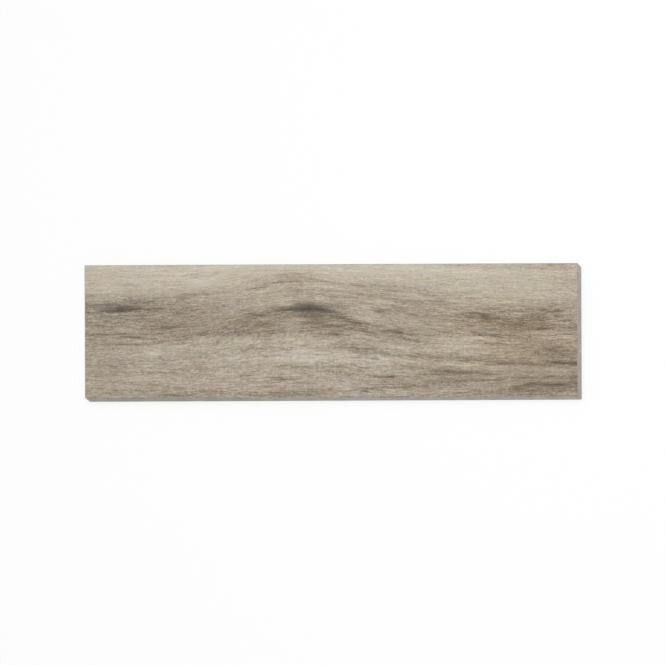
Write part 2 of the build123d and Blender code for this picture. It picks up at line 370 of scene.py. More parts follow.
            (356, 57, 384, 57, 3, -10), (368, 61.5, 380, 61.3, 1.2, -14), (382, 58, 394, 60, 1.6, -15),
            (304, 51, 320, 53.5, 1.2, -10), (338, 47, 352, 48, 1.2, -12), (346, 49, 362, 50, 1, -8),
            (296, 32.5, 324, 34, 1.3, -9), (380, 47.5, 400, 49.5, 1.1, -11), (410, 33, 424, 33, 1.6, -9),
            (436, 53.5, 452, 51.8, 1.2, -11), (421, 61.5, 431, 61.5, 1.4, -11),
            (430, 60.5, 444, 60.5, 1.2, -11), (442, 68.5, 454, 67.5, 1.2, -10),
            (436, 71.8, 454, 71.5, 1, -9), (416, 72.8, 434, 72.3, 1.2, -10), (424, 75.2, 444, 75, 1, -15),
            (340, 79.5, 358, 80.5, 1.2, -12), (300, 83.5, 322, 82, 1.3, -11), (312, 71.3, 328, 71, 1.2, -9),
            (440, 2.3, 476, 2.8, 1.2, -9), (412, 43.7, 438, 43.3, 1.4, 23), (382, 50.8, 400, 52.8, 1, 13),
            (296, 73.5, 324, 74, 1.8, 18), (334, 35.5, 358, 36.2, 1, 10), (350, 33.3, 380, 32.3, 1.2, 10),
            (340, 26.3, 354, 28, 1, 9), (308, 37, 320, 37, 1.1, 10), (382, 37, 398, 38, 1.2, 9),
            (336, 54, 360, 53, 2, 8), (408, 63, 424, 63.5, 1.5, 10), (368, 71.8, 380, 72, 1.1, 10),
            (364, 78, 390, 78, 2.2, 8), (332, 81.2, 346, 81.5, 1, 11), (431, 79, 441, 78.5, 1.2, 13),
            (442, 46.3, 456, 47.8, 1, 11), (452, 33, 482, 32.3, 1.6, 10),
        ],
        "rightEndFlecks": [
            (446, 2.8, 500, 4.3, 1.4, -9), (496, 6, 514, 7, 1.2, -9), (550, 33.5, 562, 29, 1.3, -9),
            (520, 47.2, 570, 45.3, 1.1, -9), (476, 55, 520, 55.5, 1.6, -10),
            (552, 56.8, 580, 56.5, 1.1, -9), (509, 61.5, 522, 60, 1.2, -10), (460, 70, 480, 71.3, 1.1, -13),
            (459, 81, 472, 81, 1.4, -17), (485, 79.3, 499, 80, 1.1, -12), (500, 75.8, 526, 76.2, 1.1, -12),
            (486, 70.8, 514, 70.5, 1.2, -8), (577, 64.5, 592, 68.5, 1.1, -9),
            (592, 71, 606, 71.8, 1.1, -13), (594, 79.8, 614, 79.3, 1.6, -15),
            (530, 75.5, 540, 75.5, 1.2, -10), (558, 74.5, 568, 75, 1.2, -9), (553, 70, 564, 70, 1, -9),
            (580, 51, 640, 51.5, 2.4, -6), (592, 39.8, 602, 40.2, 1.3, -8), (482, 59.8, 500, 61.2, 1.2, 20),
            (448, 59.3, 472, 59.7, 1.4, 12), (526, 62.3, 544, 62.5, 1.3, 16), (512, 63, 530, 62, 1.2, 9),
            (540, 64.5, 558, 62.5, 1.5, 13), (514, 68.2, 528, 67.8, 1.2, 13),
            (521, 70.2, 540, 69.8, 1.3, 10), (539, 69.7, 554, 69.3, 1.2, 14),
            (494, 65.7, 506, 65.3, 1.2, 12), (551, 67.5, 563, 67.3, 1.2, 10), (551, 72, 567, 72.2, 1, 13),
            (560, 73, 592, 70.5, 1.1, 12), (584, 69.5, 600, 67, 1.1, 12), (582, 76, 630, 72.5, 1.4, 17),
            (570, 58.7, 588, 58.3, 1, 10), (580, 56.3, 596, 55.8, 1.1, 10), (587, 62.3, 602, 61.7, 1.4, 11),
            (550, 42.8, 574, 43.5, 0.9, 9), (549, 3.8, 563, 3.3, 1.2, 9), (534, 80.5, 560, 79.5, 1, 11),
            (568, 82.5, 592, 82, 1.4, 11),
        ],
        "lowerLeftFlecks": [
            (17, 94.5, 29, 93, 1.6, -18), (35, 91.3, 48, 90.7, 1.4, -16), (-4, 92.3, 20, 92.8, 1.2, -9),
            (72, 87, 116, 83, 1.6, -9), (81, 92.3, 93, 91.8, 1.1, -11), (27, 102, 39, 103, 1.1, -13),
            (10, 101, 19, 101, 1.3, -9), (43, 102.7, 56, 102.3, 1.1, -9), (52, 105.5, 63, 104.5, 1.3, -10),
            (53, 114, 73, 113, 1, -9), (89, 111, 97, 114.5, 1.2, -13), (98, 118.3, 107, 117.7, 1.3, -14),
            (64, 118.6, 75, 118.4, 1, -11), (80, 123, 104, 121.5, 1.2, -9), (126, 115.8, 150, 114, 1.2, -9),
            (141, 111.3, 153, 110.7, 1.1, -10), (88, 132.5, 104, 135.5, 1.2, -10),
            (47, 134.3, 60, 133.7, 1.3, -10), (-6, 141, 18, 140.8, 1.3, -8), (55, 146, 70, 147.5, 1.6, -15),
            (97, 151.3, 107, 150.7, 1.4, -12), (100, 152, 132, 152.3, 1.6, -11),
            (114, 156.5, 127, 155.5, 1.4, -10), (-2, 154.3, 12, 153.7, 1.5, -15),
            (11, 153.5, 27, 152.3, 1.3, -10), (16, 158.3, 34, 157.7, 1.3, -10),
            (28, 155, 52, 155.5, 2.6, -8), (54, 155.5, 80, 156.5, 2.6, -9), (130, 154, 142, 153, 1.3, -9),
            (144, 159.3, 158, 158.7, 1.8, -10), (26, 100, 40, 99.8, 1.2, 14), (43, 101.5, 51, 101, 1.2, 13),
            (74, 99, 108, 97, 1.1, 14), (70, 90, 82, 88.8, 1.1, 10), (132, 90, 148, 90.3, 1.2, 10),
            (134, 96.3, 148, 95.7, 1.3, 12), (108, 102.5, 130, 100.5, 1.8, 9),
            (102, 109, 116, 103.5, 1.6, 8), (128, 105, 156, 103.5, 2, 8), (94, 114.3, 104, 112.8, 1, 10),
            (114, 118.5, 130, 117.5, 1.3, 10), (116, 122.8, 132, 122, 1.1, 9),
            (123, 111.8, 137, 111, 1.1, 9), (66, 125.3, 90, 124.8, 1, 11), (70, 130.6, 92, 130.2, 1, 10),
            (37, 127, 46, 126.8, 1.1, 9), (19, 129.6, 33, 129.2, 1.2, 13), (109, 132, 124, 133, 1.3, 11),
            (50, 140, 84, 140.5, 2.2, 9), (91, 142.3, 104, 141.7, 1.4, 14), (106, 146.5, 130, 145, 1.6, 11),
            (-4, 145.8, 12, 145.2, 1.4, 10), (51, 149.5, 61, 152, 1.2, 14), (54, 163, 110, 163, 1.4, 9),
            (146, 119.5, 164, 119, 1.3, 10), (146, 125.7, 160, 125.3, 1.2, 10),
        ],
        "lowerMiddleFlecks": [
            (159, 96.5, 172, 91.5, 1.2, -15), (207, 92.8, 238, 92.3, 1.3, -15),
            (240, 103, 254, 106.5, 1.6, -13), (250, 104.5, 262, 103.5, 1.5, -14),
            (210, 108, 230, 107, 1.1, -9), (192, 110.3, 212, 109.5, 1, -10), (196, 114.8, 216, 113, 1, -9),
            (161, 113.5, 170, 113, 1.1, -9), (174, 126.3, 194, 126.7, 1.2, -10),
            (206, 133.5, 222, 131.5, 1, -10), (280, 123.7, 302, 122.7, 1.2, -13),
            (283, 128.5, 294, 128.3, 1.2, -11), (254, 128.3, 278, 131.5, 1.3, -13),
            (237, 136.5, 252, 136, 1, -9), (186, 142.3, 208, 140.8, 1.6, -9),
            (216, 141, 228, 140.6, 1.1, -11), (259, 142.3, 273, 141.7, 1.4, -11),
            (279, 143.5, 293, 142, 1.4, -9), (204, 148.5, 244, 148, 3.2, -7),
            (276, 155.5, 312, 154.6, 1.5, -13), (148, 158.5, 180, 159.3, 1.8, -10),
            (276, 88, 298, 86.7, 1.6, -12), (280, 111.8, 310, 112, 1.1, -11),
            (300, 118, 310, 122.5, 1.1, -9), (148, 103.5, 190, 101.5, 1.6, 12),
            (172, 116.5, 190, 115.5, 2, 10), (151, 112.2, 162, 111.8, 1.2, 11),
            (170, 109.2, 182, 108.8, 1, 9), (220, 116.3, 240, 115.7, 1.4, 12),
            (205, 116.5, 220, 115.5, 1.8, 8), (196, 90.4, 210, 89.6, 1.1, 9), (235, 86, 245, 85.5, 1.4, 9),
            (257, 96, 278, 95.5, 2, 14), (252, 125.3, 284, 127, 1.1, 20, -1.8),
            (187, 133, 200, 132.5, 1.8, 11), (160, 135.2, 172, 134.5, 1.4, 9),
            (206, 139.3, 240, 138, 0.9, 9), (240, 138, 266, 137, 1.3, 10), (273, 118.3, 288, 117.7, 1.5, 9),
            (291, 115.3, 303, 114.7, 1.4, 10), (237, 148.5, 249, 144.5, 1, 9),
            (280, 149.3, 316, 148.7, 1.4, 10), (295, 152, 309, 151.5, 1.1, 12),
            (257, 155.3, 269, 156.5, 1.4, 12), (170, 163.5, 210, 163.3, 1.4, 13),
            (276, 163, 330, 163, 2, 12),
        ],
        "lowerRightFlecks": [
            (307, 86.5, 316, 86.3, 1.5, -14), (308, 89.3, 330, 88.7, 1.2, -13),
            (321, 87.2, 338, 88, 1.2, -11), (310, 95, 328, 94, 1.1, -11), (330, 91.8, 358, 93.8, 1.2, -10),
            (354, 95.5, 382, 97.8, 1.3, -12), (378, 97, 400, 99, 1.3, -9),
            (382, 100.5, 400, 101.7, 1.1, -11), (374, 90, 390, 87, 1, -11), (383, 89.8, 402, 91.2, 1, -11),
            (337, 110.5, 352, 114.2, 1.3, -14), (326, 116, 344, 115.2, 1.1, -11),
            (350, 116.8, 367, 118, 1.4, -16), (299, 110.3, 311, 109.7, 1.2, -10),
            (322, 110.3, 338, 109.8, 1.1, -9), (316, 125.5, 340, 124.8, 1.4, -10),
            (334, 128.7, 350, 129.2, 1.2, -14), (392, 128.7, 410, 128.3, 1.1, -11),
            (410, 130, 440, 131, 1.4, -12), (428, 131.8, 462, 131.2, 1.2, -9),
            (404, 138, 428, 139.3, 1.3, -11), (367, 136.7, 384, 136.2, 1, -10),
            (325, 142.2, 338, 141.8, 1.3, -13), (312, 159, 342, 155, 1.4, -18),
            (300, 156.5, 322, 157.3, 1.2, -9), (338, 157.3, 358, 157.8, 1.1, -12),
            (356, 157.3, 378, 158, 1.2, -17), (372, 152.8, 390, 152.2, 1.3, -15),
            (339, 154, 352, 153, 1, -10), (427, 115.5, 444, 114.5, 1.8, -10), (441, 99.7, 453, 99.3, 1, -9),
            (402, 94.3, 414, 94.6, 1, -10), (442, 84.3, 458, 83.7, 1.4, -11),
            (428, 154.5, 444, 152.5, 1.2, -9), (440, 160.3, 474, 159.8, 1, -10),
            (298, 95.5, 318, 93.5, 1.8, 12), (382, 104.3, 412, 102.8, 1.8, 13),
            (334, 103.3, 356, 102.7, 1.4, 9), (360, 114.7, 372, 114.2, 1.2, 12),
            (375, 111.7, 387, 111.2, 1.1, 10), (400, 122, 430, 121.3, 1.1, 9),
            (430, 124.3, 459, 125.5, 1.4, 9), (358, 154.8, 384, 155.8, 1, 18),
            (341, 149.8, 354, 149, 1.3, 12), (298, 150.5, 338, 150, 2.4, 9), (331, 140.6, 341, 142, 1, 9),
            (382, 163.3, 402, 162.7, 1.2, 15), (402, 163.3, 420, 162.8, 1, 9),
            (422, 151.8, 440, 150.6, 1.1, 9), (428, 93.3, 458, 92.3, 1.2, 12),
            (420, 108.8, 440, 109.6, 1.1, 9), (408, 85.8, 422, 85.2, 1.2, 9),
        ],
        "lowerEndFlecks": [
            (474, 85, 496, 88, 1.2, -9), (506, 86.5, 518, 86.8, 1.4, -11), (466, 99.8, 494, 99.2, 1.1, -11),
            (480, 107.3, 496, 106.5, 1.1, -11), (512, 101.6, 528, 102, 1.1, -11),
            (494, 112.5, 516, 114, 1.7, -12), (536, 105, 556, 104, 1.4, -9),
            (544, 119.5, 556, 118.5, 1.5, -9), (555, 113.3, 567, 112.7, 1.1, -9),
            (583, 101.5, 606, 99.8, 1.4, -10), (448, 119.8, 488, 120.2, 1.3, -12),
            (490, 124, 530, 125.8, 1.5, -13), (450, 139.2, 472, 138.6, 1.2, -10),
            (552, 140.8, 582, 140.2, 1.1, -9), (586, 142, 640, 141.5, 2.2, -8),
            (558, 149, 580, 146.5, 1.1, -9), (557, 153.8, 568, 153.2, 1.3, -11),
            (512, 156.5, 536, 152.5, 1.2, -9), (446, 160, 512, 159.6, 1.3, -11),
            (602, 156.3, 620, 156, 1.3, -11), (480, 90.3, 504, 90.8, 1.2, 26),
            (517, 98.3, 528, 97.7, 1.4, 12), (526, 98, 538, 97.7, 1.4, 13), (552, 95.8, 572, 94.3, 1.4, 11),
            (566, 84, 592, 85, 1.8, 10), (584, 92.5, 608, 92.5, 1.8, 10), (538, 111, 558, 111, 1.2, 13),
            (531, 114.3, 543, 113.7, 1.2, 13), (550, 117, 562, 117.3, 1.5, 11),
            (581, 107.3, 595, 106.5, 1.3, 11), (572, 122, 612, 123.3, 0.9, 9),
            (530, 123.8, 550, 124.2, 1.2, 10), (446, 125.8, 486, 126.2, 1.8, 13),
            (488, 142.2, 510, 141.7, 1.3, 14), (518, 139.4, 536, 138.6, 1.2, 12),
            (572, 137.8, 594, 137.3, 1.6, 11), (545, 150.7, 563, 149, 1.3, 14),
            (589, 150, 611, 151, 1.4, 15), (595, 156.3, 606, 155.7, 1.2, 11),
            (536, 155.3, 556, 154.7, 1.2, 13), (524, 160.3, 542, 159.7, 1.2, 12),
            (582, 162.3, 620, 162, 1.4, 12), (503, 163.5, 522, 163.3, 1, 12),
            (486, 154.5, 518, 152.8, 1.1, 10), (458, 113.3, 488, 114, 1.2, 10),
        ],
        "softShades": [
            (5, 36, 55, 37, 9, 8), (-5, 88, 30, 88, 4, 8), (-6, 104, 14, 104, 4, 9),
            (120, 24, 190, 24, 8, 6), (155, 62, 200, 61, 2.5, 7), (146, 97, 186, 79, 2.2, 8),
            (358, 46, 376, 46, 3.5, 11), (405, 32, 448, 32, 6, 7), (345, 76, 400, 82, 3, 7),
            (374, 102, 396, 105, 2, 9), (255, 95, 300, 92, 2, 7), (110, 100, 134, 105, 3, 7),
            (490, 140, 514, 146, 4, 7), (445, 130, 490, 131, 4, 6), (580, 163, 620, 163, 3, 6),
            (510, 67, 560, 68, 4, 6), (594, 16, 625, 14, 5, 6), (175, 118, 200, 118, 3, 5),
            (150, 137, 196, 137, 8, 4), (20, 113, 50, 113, 4, 6), (228, 162, 256, 162, 3, 6),
            (180, 16, 285, 18, 9, -6), (248, 27, 282, 29, 5, -6), (280, 39, 356, 41, 3, -8),
            (366, 37, 384, 37, 2.5, -7), (278, 79, 312, 80, 3, -10), (340, 88, 380, 90, 4, -8),
            (438, 84, 470, 84, 4.5, -10), (408, 86, 436, 86, 4, -7), (180, 106, 256, 104, 4, -8),
            (128, 88, 156, 86, 3, -8), (172, 80, 188, 80, 2, -8), (166, 95, 186, 92, 3, -6),
            (150, 59, 176, 58, 3, -8), (280, 127, 298, 127, 3, -10), (334, 112, 352, 113, 3, -8),
            (242, 129, 280, 130, 3, -6), (326, 134, 350, 132, 3, -7), (300, 138, 340, 136, 2.5, -6),
            (386, 126, 430, 128, 4, -6), (430, 151, 490, 150, 7, -5), (40, 156, 110, 156, 6, -6),
            (130, 157, 185, 157, 5, -5), (-8, 51, 26, 51, 5, -7), (566, 126, 590, 126, 3, -8),
            (560, 142, 596, 142, 2.5, -8), (594, 52, 625, 52, 8, -6), (550, 6, 620, 6, 5, -6),
            (494, 113, 520, 114, 5, -6), (112, 66, 140, 64, 3, -5), (66, 88, 96, 86, 3, -6),
            (515, 89, 550, 88, 5, -5), (440, 71, 460, 75, 4, -5), (292, 62, 308, 60, 4, -7),
            (538, 36, 560, 32, 4, -5),
        ],
        "softStreaks": [
            (96, 3, 140, 13, 2.5, 6), (112, 23, 178, 23, 5, 5), (48, 36, 86, 37, 3, 6),
            (152, 34, 172, 34, 2.5, 7), (168, 48, 198, 45, 3, 8), (214, 50, 236, 50, 3, 7),
            (172, 65, 204, 63, 2, 9), (254, 71, 290, 71, 1.8, 9), (260, 64, 282, 64, 1.8, 6),
            (296, 64, 318, 63, 2, 9), (290, 73, 322, 74, 1.5, 6), (60, 76, 125, 74, 3, 7),
            (120, 72, 146, 71, 3, 7), (146, 84, 178, 80, 2.5, 7), (138, 96, 160, 92, 3, 8),
            (96, 104, 134, 98, 3, 6), (154, 117, 188, 116, 3, 7), (204, 118, 222, 118, 3, 6),
            (142, 126, 182, 125, 2, 6), (184, 131, 202, 129, 3, 8), (40, 140, 96, 141, 3.5, 6),
            (46, 146, 90, 145, 1.8, 6), (134, 147, 152, 145, 3, 10), (242, 138, 262, 137, 2, 9),
            (170, 151, 188, 149, 2, 7), (10, 82, 52, 83, 2.5, 6), (54, 124, 72, 124, 3, 6),
            (232, 161, 258, 160, 3, 5), (14, 24, 64, 25, 3, -5), (84, 49, 106, 48, 3, -9),
            (-6, 57, 16, 57, 3, -7), (14, 56, 28, 56, 5, -5), (146, 61, 174, 58, 3, -6),
            (104, 66, 150, 63, 1.6, -7), (236, 38, 278, 37, 2, -8), (272, 38, 330, 42, 2.5, -5),
            (226, 21, 282, 24, 5, -4), (144, 46, 166, 44, 3, -6), (258, 84, 300, 82, 4, -6),
            (264, 88, 286, 87, 2.5, -6), (174, 81, 190, 79, 2, -7), (174, 94, 206, 93, 1.6, -7),
            (66, 88, 98, 84, 2, -5), (8, 93, 56, 92, 2, -6), (160, 94, 182, 92, 2, -5),
            (180, 112, 212, 105, 2.5, -7), (228, 106, 268, 105, 3, -5), (282, 112, 298, 110, 3, -7),
            (284, 128, 296, 127, 2.5, -8), (48, 116, 72, 115, 3, -6), (74, 121, 108, 118, 2, -6),
            (120, 117, 146, 115, 2, -6), (188, 142, 206, 142, 2, -6), (260, 141, 282, 140, 2, -7),
            (266, 150, 280, 150, 2.5, -6), (96, 136, 120, 136, 1.8, -5), (158, 157, 182, 152, 3, -6),
            (134, 154, 158, 156, 4, -5), (64, 149, 82, 149, 2, -6), (196, 163, 218, 162, 2, -8),
            (240, 124, 264, 123, 2, -5), (356, 48, 390, 48, 2, 8), (338, 20, 364, 24, 3, 5),
            (460, 31, 492, 32, 2, 6), (462, 41, 506, 40, 1.8, 8), (490, 48, 560, 48, 1.8, 8),
            (388, 64, 402, 64, 3, 8), (388, 70, 402, 70, 2.5, 7), (356, 80, 396, 83, 2, 8),
            (386, 92, 406, 92, 3, 7), (364, 99, 380, 102, 2.2, 10), (376, 104, 398, 104, 1.6, 8),
            (438, 106, 468, 109, 3, 6), (464, 113, 484, 113, 2.5, 5), (460, 83, 478, 86, 2, 9),
            (480, 88, 502, 90, 2, 6), (306, 133, 336, 135, 2, 7), (346, 137, 388, 137, 2.5, 6),
            (438, 131, 490, 132, 2, 7), (440, 140, 506, 140, 2, 7), (488, 149, 514, 147, 3, 6),
            (514, 139, 540, 137, 2, 5), (548, 107, 570, 107, 2.5, 8), (568, 93, 618, 92, 2.5, 7),
            (548, 64, 574, 68, 5, 6), (574, 74, 596, 74, 1.6, 5), (584, 150, 606, 150, 4, 6),
            (588, 161, 625, 164, 2.5, 7), (316, 162, 342, 162, 2.5, 6), (384, 162, 402, 162, 2, 7),
            (548, 147, 572, 145, 2.5, 5), (396, 30, 422, 30, 2.5, -7), (370, 38, 386, 38, 3, -8),
            (300, 41, 328, 41, 2, -6), (530, 60, 546, 60, 2, -8), (570, 60, 586, 62, 2, -9),
            (428, 59, 442, 59, 1.8, -8), (358, 59, 374, 59, 2, -7), (384, 52, 398, 54, 2.5, -6),
            (508, 53, 530, 53, 1.6, -6), (432, 86, 474, 86, 2.2, -9), (514, 81, 532, 81, 2, -7),
            (492, 82, 514, 82, 1.6, -5), (320, 88, 336, 88, 2.2, -8), (302, 88, 322, 88, 3, -5),
            (316, 75, 334, 75, 1.6, -7), (344, 81, 362, 83, 2, -6), (368, 94, 386, 96, 2, -7),
            (452, 101, 478, 100, 1.4, -7), (336, 112, 350, 112, 2.5, -8), (296, 128, 340, 126, 2, -7),
            (352, 131, 412, 130, 2.5, -6), (424, 126, 438, 126, 2.5, -6), (494, 122, 532, 124, 3, -6),
            (596, 126, 614, 125, 3, -8), (566, 142, 586, 141, 1.8, -9), (466, 158, 520, 158, 2.5, -7),
            (544, 162, 566, 162, 1.8, -7), (398, 153, 416, 153, 2, -7), (342, 152, 356, 152, 1.8, -6),
            (430, 145, 492, 143, 1.8, -5), (296, 136, 314, 137, 1.6, -8), (490, 7, 615, 7, 3, -5),
            (462, 3, 494, 4, 3, -5), (544, 36, 582, 35, 3, -5), (574, 86, 598, 86, 2.5, -6),
        ],
    },
    "warmPatches": [  # patches of warmer wood, with red over blue (of 255) for the tone
        (370, 90, 780, 96, 60, 3.5), (486, 100, 606, 106, 30, 3.5), (400, 72, 590, 74, 10, 2.5),
        (220, 14, 310, 18, 9, 2), (-160, 48, 230, 50, 14, -3), (-160, 112, 200, 114, 13, -2.5),
        (6, 55, 70, 53, 8, -7), (248, 56, 320, 57, 7, -11), (248, 110, 296, 111, 11, -3),
        (322, 112, 394, 115, 8, -4), (306, 147, 354, 147, 6, -4), (-200, 167, 800, 168, 6, -4),
        (-300, 166, 910, 166, 4, -4), (-300, -0.5, 910, -0.5, 3, -15), (0, -80, 0, 245, 3, -13),
        (610, -80, 610, 245, 2.5, -8),
    ],
    "greenPatches": [  # patches of greener wood, with green over the other two
        (200, 46, 260, 46, 8, 1.8), (160, 101, 226, 100, 8, 1.5), (436, 30, 494, 30, 10, 1.3),
        (10, 54, 80, 52, 7, -1.6), (60, 88, 130, 86, 8, -1),
    ],
}

# fibres of the print: length and width (mm), reach and seed; a reach is millimetres or tone (of 255)
woodFibres = {
    "waves": [  # bends of all the fibres, in millimetres
        (90.0, 20.0, 6.0, 1.0),
        (30.0, 8.0, 2.2, 2.0),
        (10.0, 5.0, 0.9, 4.0),
    ],
    "bands": [  # long growth bands: length, width, softness, tone swing, seed
        (150.0, 5.0, 0.22, 6.5, 5.0),
        (60.0, 2.6, 0.18, 6.0, 6.0),
    ],
    "streaks": [  # short fibres, in the same way
        (26.0, 1.7, 0.16, 13.0, 7.0),
        (9.0, 1.5, 0.15, 14.5, 8.0),
        (3.6, 1.4, 0.16, 16.0, 9.0),
        (1.8, 1.5, 0.20, 9.0, 15.0),
    ],
    "pores": (13.0, 1.3, -22.0, 10.0),  # short dark dashes
    "flecks": (9.0, 1.4, 14.0, 11.0),  # short pale dashes
    "rareness": (0.14, 0.26),
    "paleTone": 188.0,  # the fibres fade where the wood is pale
    "darkTone": 150.0,
    "paleShare": 0.62,
    "darkShare": 1.2,
    "knotTone": (98.0, 130.0),  # and they sink into the knots
    "knotShare": 0.45,
}

# colour of the print by tone: tone (of 255), then red, green and blue as seen (of 255)
printColours = [
    (50, 58, 52, 46),
    (100, 111, 101, 88),
    (130, 144, 131, 115),
    (160, 173, 161, 145),
    (190, 201, 192, 176),
    (220, 229, 222, 209),
]
printSheen = 0.024  # what the matt sheen adds to each colour

# small patches of warmer or greener wood: length, width (mm), seed, and their swing (of 255)
printTints = {
    "warmNoise": (40.0, 10.0, 13.0),
    "warmSwing": 15.0,
    "greenNoise": (30.0, 9.0, 14.0),
    "greenSwing": 9.0,
    "redShare": 0.006,  # how much of each colour one level of tint makes
    "greenShare": 0.014,
    "blueShare": -0.008,
}

# surface of the print
mattGlaze = {
    "fibreSwing": 25.0,  # fibres this much darker or paler (of 255) reach the ends of the roughness
    "darkRoughness": 0.7,
    "paleRoughness": 0.54,
    "gloss": 0.3,
    "bumpStrength": 0.5,
    "bumpDepth": 0.08 * mm,
    "bumpNoise": (12.0, 1.2, 12.0),  # length, width (mm), seed
}


def linear(level):  # a colour level of 255 as the light that it stands for
    share = level / 255
    return share / 12.92 if share <= 0.04045 else ((share + 0.055) / 1.055) ** 2.4


def strokeTones(along, down, strokes):
    tones = np.zeros(len(along))
    for startAlong, startDown, endAlong, endDown, halfWidth, tone, *bow in strokes:
        runAlong = endAlong - startAlong
        runDown = endDown - startDown
        run = math.hypot(runAlong, runDown)
        fromAlong = along - startAlong
        fromDown = down - startDown
        share = (fromAlong * runAlong + fromDown * runDown) / run**2
        aside = (fromDown * runAlong - fromAlong * runDown) / run
        middle = np.clip(4 * share * (1 - share), 0, 1)  # 1 half way along the stroke, 0 at its ends
        width = halfWidth * (woodFigure["tipWidth"] + (1 - woodFigure["tipWidth"]) * middle)
        across = np.exp(-(((aside - sum(bow) * middle) / width) ** 2))  # a straight stroke has no bow
        tones += tone * across * middle**2 * (3 - 2 * middle)
    return tones


def tearEdges(along, down):  # moves points across the grain, so that the figure's lines have torn edges
    for length, width, reach, seed in woodFigure["tears"]:
        tear = [noise.noise((a / length, d / width, seed)) for a, d in zip(along, down)]
        down = down + reach * np.array(tear)
    return down


def paintFigure(mesh):  # leaves the figure on the mesh as attributes, for the print to read
    spots = np.empty(len(mesh.vertices) * 3)
    mesh.vertices.foreach_get("co", spots)
    x, y = spots.reshape(-1, 3).T[:2]
    along = (tileLength / 2 + x) / mm
    down = tearEdges(along, (tileWidth / 2 - y) / mm)
    tone = woodFigure["baseTone"]
    for strokes in woodFigure["strokes"].values():
        tone = tone + woodFigure["contrast"] * strokeTones(along, down, strokes)
    layers = {
        "figureTone": tone,
        "warmth": strokeTones(along, down, woodFigure["warmPatches"]),
        "greenness": strokeTones(along, down, woodFigure["greenPatches"]),
    }
    for name, values in layers.items():
        layer = mesh.attributes.new(name, "FLOAT", "POINT")
        layer.data.foreach_set("value", values)
    print("figure painted on", len(along), "points")


def emptyTree(owner):  # the node tree of a material or a world, with nothing in it
    owner.use_nodes = True
    owner.node_tree.nodes.clear()
    return owner.node_tree


def newMaterial(name):
    material = bpy.data.materials.new(name)
    tree = emptyTree(material)
    shader = addNode(tree, "ShaderNodeBsdfPrincipled")
    out = addNode(tree, "ShaderNodeOutputMaterial")
    tree.links.new(shader.outputs["BSDF"], out.inputs["Surface"])
    return material, tree, shader


def roughen(tree, shader, height, surface):  # fine bumps and a weak shine
    shader.inputs["Specular IOR Level"].default_value = surface["gloss"]
    bump = addNode(tree, "ShaderNodeBump")
    bump.inputs["Strength"].default_value = surface["bumpStrength"]
    bump.inputs["Distance"].default_value = surface["bumpDepth"]
    plug(tree, bump.inputs["Height"], height)
    plug(tree, shader.inputs["Normal"], bump.outputs["Normal"])


def bend(tree, point, grain, bends):  # moves a point across the grain by streaky noise
    shift = 0.0
    for length, width, reach, seed in bends:
        shift = calc(tree, "MULTIPLY_ADD", grainNoise(tree, grain, length, width, seed), reach, shift)
    return calcVector(tree, "ADD", point, join(tree, 0.0, shift, 0.0))


def streakTone(tree, grain, streaks):
    tone = 0.0
    for length, width, softness, swing, seed in streaks:
        streak = grainNoise(tree, grain, length, width, seed)
        tone = calc(tree, "ADD", ease(tree, streak, -softness, softness, -swing / 2, swing / 2), tone)
    return tone


def fibreTone(tree, grain):
    tone = streakTone(tree, grain, woodFibres["streaks"])
    for name in ("pores", "flecks"):
        length, width, reach, seed = woodFibres[name]
        streak = grainNoise(tree, grain, length, width, seed)
        tone = calc(tree, "ADD", ease(tree, streak, *woodFibres["rareness"], 0.0, reach), tone)
    return tone


def painted(tree, name):
    return addNode(tree, "ShaderNodeAttribute", attribute_name=name).outputs["Fac"]


def woodTint(tree, grain):  # what each colour is multiplied by
    warmth = grainNoise(tree, grain, *printTints["warmNoise"])
    warmth = calc(tree, "MULTIPLY_ADD", warmth, printTints["warmSwing"], painted(tree, "warmth"))
    green = grainNoise(tree, grain, *printTints["greenNoise"])
    green = calc(tree, "MULTIPLY_ADD", green, printTints["greenSwing"], painted(tree, "greenness"))
    return join(
        tree,
        calc(tree, "MULTIPLY_ADD", warmth, printTints["redShare"], 1.0),
        calc(tree, "MULTIPLY_ADD", green, printTints["greenShare"], 1.0),
        calc(tree, "MULTIPLY_ADD", warmth, printTints["blueShare"], 1.0),
    )


def woodPrintGlaze():
    material, tree, shader = newMaterial("woodPrintGlaze")
    position = addNode(tree, "ShaderNodeTexCoord").outputs["Object"]
    board = boardPoint(tree, position)
    flow = grainPoint(tree, board)
    grain = bend(tree, flow, flow, woodFibres["waves"])
    figure = painted(tree, "figureTone")
    fibres = fibreTone(tree, grain)
    share = ease(
        tree, figure, woodFibres["darkTone"], woodFibres["paleTone"],
        woodFibres["darkShare"], woodFibres["paleShare"],
    )
    inKnots = ease(tree, figure, *woodFibres["knotTone"], woodFibres["knotShare"], 1.0)
    grainTone = calc(tree, "MULTIPLY_ADD", fibres, share, streakTone(tree, grain, woodFibres["bands"]))
    tone = calc(tree, "MULTIPLY_ADD", grainTone, inKnots, figure)
    ramp = addNode(tree, "ShaderNodeValToRGB")
    plug(tree, ramp.inputs["Fac"], calc(tree, "DIVIDE", tone, 255.0))
    stops = ramp.color_ramp.elements
    while len(stops) < len(printColours):
        stops.new(0.5)
    for stop, (level, *seen) in zip(stops, printColours):
        stop.position = level / 255
        stop.color = [linear(channel) - printSheen for channel in seen] + [1.0]
    tint = woodTint(tree, grain)
    colour = calcVector(tree, "MULTIPLY", ramp.outputs["Color"], tint)
    plug(tree, shader.inputs["Base Color"], colour)
    swing = mattGlaze["fibreSwing"]
    rough = ease(tree, fibres, -swing, swing, mattGlaze["darkRoughness"], mattGlaze["paleRoughness"])
    plug(tree, shader.inputs["Roughness"], rough)
    roughen(tree, shader, grainNoise(tree, grain, *mattGlaze["bumpNoise"]), mattGlaze)
    return material


